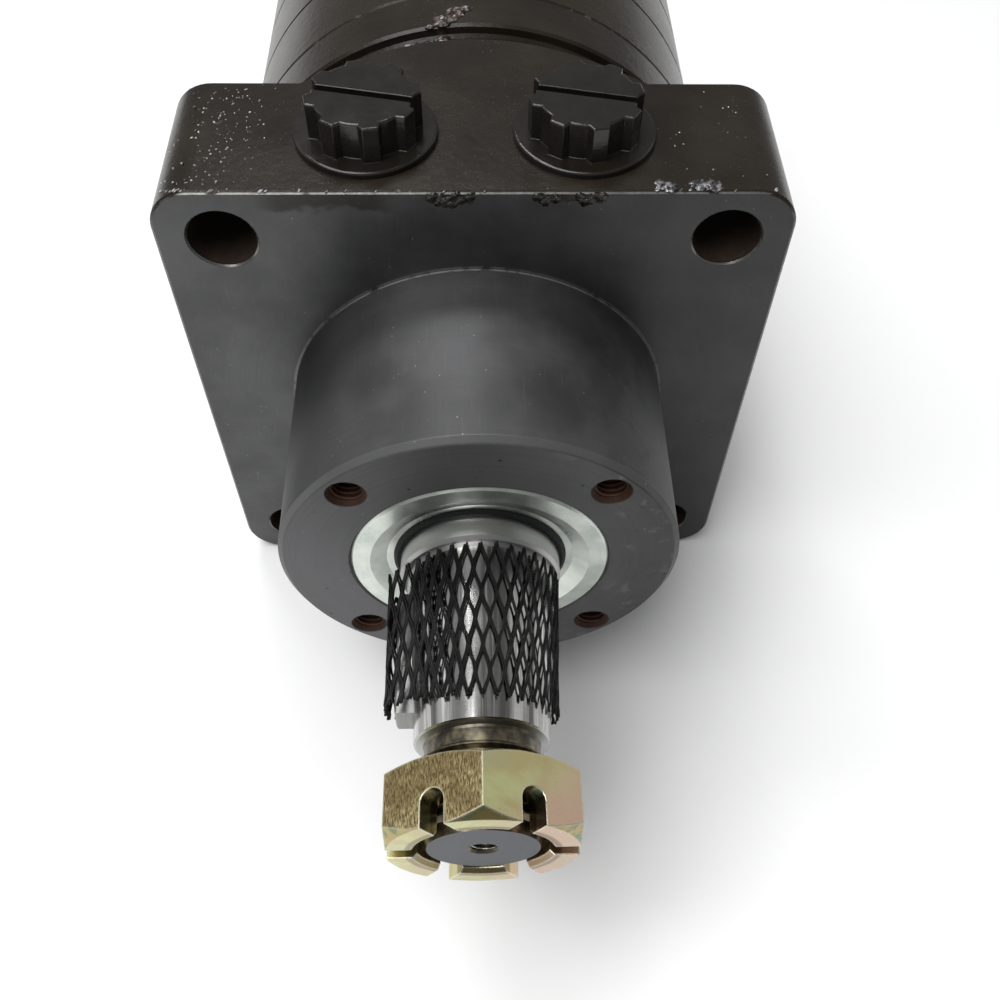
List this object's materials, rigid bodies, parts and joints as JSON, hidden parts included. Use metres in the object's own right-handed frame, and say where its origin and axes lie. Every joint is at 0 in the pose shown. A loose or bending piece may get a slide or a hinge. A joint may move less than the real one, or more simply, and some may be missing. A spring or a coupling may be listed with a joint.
{
  "type": "hydraulic motor",
  "caption": "Orbital hydraulic wheel motor: square flange block with two plugged ports, pilot neck and keyed tapered shaft with castle nut.",
  "frame": {"origin": "centre of the four mounting holes, on the shaft axis in the plane of the flange's front face", "axes": "-Y out along the output shaft, +Y back to the end cover, +Z out of the two ports; the key is on the -X side"},
  "size_m": [0.132, 0.2826, 0.138],
  "materials": {
    "black_paint": "satin black paint over cast iron, bare machined iron on the flange face and neck",
    "polished_steel": "ground steel",
    "bearing_steel": "ground bearing steel",
    "hardened_steel": "hardened steel",
    "zinc_plate": "pale zinc plate",
    "yellow_zinc": "yellow passivated zinc",
    "black_oxide": "black oxide",
    "seal_rubber": "matt black rubber",
    "plug_plastic": "moulded black plastic",
    "net_plastic": "extruded black plastic net"
  },
  "bodies": {
    "casing": {"housing": "black_paint", "seal_carrier": "zinc_plate", "carrier_o_ring": "seal_rubber", "dust_seal": "seal_rubber", "shaft_seal": "seal_rubber", "seal_backup_washer": "hardened_steel", "front_bearing_cup": "bearing_steel", "rear_bearing_cup": "bearing_steel", "fixed_thrust_washer": "bearing_steel", "rear_thrust_washer": "bearing_steel", "wear_plate": "hardened_steel", "housing_o_ring": "seal_rubber", "stator_ring": "black_paint", "stator_o_ring": "seal_rubber", "channel_plate": "black_paint", "channel_o_ring": "seal_rubber", "valve_housing": "black_paint", "cover_o_ring": "seal_rubber", "balance_ring": "hardened_steel", "balance_outer_seal": "seal_rubber", "balance_inner_seal": "seal_rubber", "balance_spring": "hardened_steel", "end_cover": "black_paint", "cover_washers": "black_oxide", "cover_bolts": "black_oxide", "port_plug_left": "plug_plastic", "port_plug_right": "plug_plastic"},
    "shaft": {"output_shaft": "polished_steel", "shaft_key": "polished_steel", "castle_nut": "yellow_zinc", "net_sleeve": "net_plastic", "shaft_thrust_washer": "bearing_steel"},
    "front_roller_set": {"front_bearing_cage": "bearing_steel", "front_bearing_rollers": "bearing_steel"},
    "rear_roller_set": {"rear_bearing_cage": "bearing_steel", "rear_bearing_rollers": "bearing_steel"},
    "thrust_needle_set": {"thrust_cage": "bearing_steel", "thrust_needles": "bearing_steel"},
    "orbit": {"link_spacer": "hardened_steel"},
    "rotor": {"rotor": "hardened_steel"},
    "drive_link": {"drive_link": "hardened_steel"},
    "valve_link": {"valve_link": "hardened_steel"},
    "disc_valve": {"disc_valve": "hardened_steel"},
    "stator_roller_1": {"stator_roller_1": "bearing_steel"},
    "stator_roller_2": {"stator_roller_2": "bearing_steel"},
    "stator_roller_3": {"stator_roller_3": "bearing_steel"},
    "stator_roller_4": {"stator_roller_4": "bearing_steel"},
    "stator_roller_5": {"stator_roller_5": "bearing_steel"},
    "stator_roller_6": {"stator_roller_6": "bearing_steel"},
    "stator_roller_7": {"stator_roller_7": "bearing_steel"}
  },
  "joints": [
    {"name": "shaft_spin", "type": "hinge", "parent": "casing", "child": "shaft", "pos_m": [0, 0, 0], "axis": [0, 1, 0], "continuous": true},
    {"name": "front_roller_spin", "type": "hinge", "parent": "casing", "child": "front_roller_set", "pos_m": [0, -0.0165, 0], "axis": [0, 1, 0], "continuous": true},
    {"name": "rear_roller_spin", "type": "hinge", "parent": "casing", "child": "rear_roller_set", "pos_m": [0, 0.0565, 0], "axis": [0, 1, 0], "continuous": true},
    {"name": "thrust_needle_spin", "type": "hinge", "parent": "casing", "child": "thrust_needle_set", "pos_m": [0, -0.00173, 0], "axis": [0, 1, 0], "continuous": true},
    {"name": "rotor_orbit", "type": "hinge", "parent": "casing", "child": "orbit", "pos_m": [0, 0.0865, 0], "axis": [0, 1, 0], "continuous": true},
    {"name": "rotor_spin", "type": "hinge", "parent": "orbit", "child": "rotor", "pos_m": [0, 0.0865, -0.003], "axis": [0, 1, 0], "continuous": true},
    {"name": "drive_link_spin", "type": "hinge", "parent": "orbit", "child": "drive_link", "pos_m": [0, 0.019, 0], "axis": [0, 0.9989, -0.0468], "continuous": true},
    {"name": "valve_link_spin", "type": "hinge", "parent": "orbit", "child": "valve_link", "pos_m": [0, 0.128, 0], "axis": [0, 0.9959, 0.0905], "continuous": true},
    {"name": "disc_valve_spin", "type": "hinge", "parent": "casing", "child": "disc_valve", "pos_m": [0, 0.1275, 0], "axis": [0, 1, 0], "continuous": true},
    {"name": "stator_roller_1_spin", "type": "hinge", "parent": "casing", "child": "stator_roller_1", "pos_m": [0.01736, 0.0865, 0.03604], "axis": [0, 1, 0], "continuous": true},
    {"name": "stator_roller_2_spin", "type": "hinge", "parent": "casing", "child": "stator_roller_2", "pos_m": [0.039, 0.0865, 0.0089], "axis": [0, 1, 0], "continuous": true},
    {"name": "stator_roller_3_spin", "type": "hinge", "parent": "casing", "child": "stator_roller_3", "pos_m": [0.03127, 0.0865, -0.02494], "axis": [0, 1, 0], "continuous": true},
    {"name": "stator_roller_4_spin", "type": "hinge", "parent": "casing", "child": "stator_roller_4", "pos_m": [0, 0.0865, -0.04], "axis": [0, 1, 0], "continuous": true},
    {"name": "stator_roller_5_spin", "type": "hinge", "parent": "casing", "child": "stator_roller_5", "pos_m": [-0.03127, 0.0865, -0.02494], "axis": [0, 1, 0], "continuous": true},
    {"name": "stator_roller_6_spin", "type": "hinge", "parent": "casing", "child": "stator_roller_6", "pos_m": [-0.039, 0.0865, 0.0089], "axis": [0, 1, 0], "continuous": true},
    {"name": "stator_roller_7_spin", "type": "hinge", "parent": "casing", "child": "stator_roller_7", "pos_m": [-0.01736, 0.0865, 0.03604], "axis": [0, 1, 0], "continuous": true}
  ],
  "couplings": [
    {"joint": "front_roller_spin", "follows": "shaft_spin", "ratio": 0.4571},
    {"joint": "rear_roller_spin", "follows": "shaft_spin", "ratio": 0.4451},
    {"joint": "thrust_needle_spin", "follows": "shaft_spin", "ratio": 0.5},
    {"joint": "rotor_orbit", "follows": "shaft_spin", "ratio": -6},
    {"joint": "rotor_spin", "follows": "shaft_spin", "ratio": 7},
    {"joint": "drive_link_spin", "follows": "shaft_spin", "ratio": 7},
    {"joint": "valve_link_spin", "follows": "shaft_spin", "ratio": 7},
    {"joint": "disc_valve_spin", "follows": "shaft_spin", "ratio": 1},
    {"joint": "stator_roller_1_spin", "follows": "shaft_spin", "ratio": -6.162},
    {"joint": "stator_roller_2_spin", "follows": "shaft_spin", "ratio": -6.162},
    {"joint": "stator_roller_3_spin", "follows": "shaft_spin", "ratio": -6.162},
    {"joint": "stator_roller_4_spin", "follows": "shaft_spin", "ratio": -6.162},
    {"joint": "stator_roller_5_spin", "follows": "shaft_spin", "ratio": -6.162},
    {"joint": "stator_roller_6_spin", "follows": "shaft_spin", "ratio": -6.162},
    {"joint": "stator_roller_7_spin", "follows": "shaft_spin", "ratio": -6.162}
  ]
}
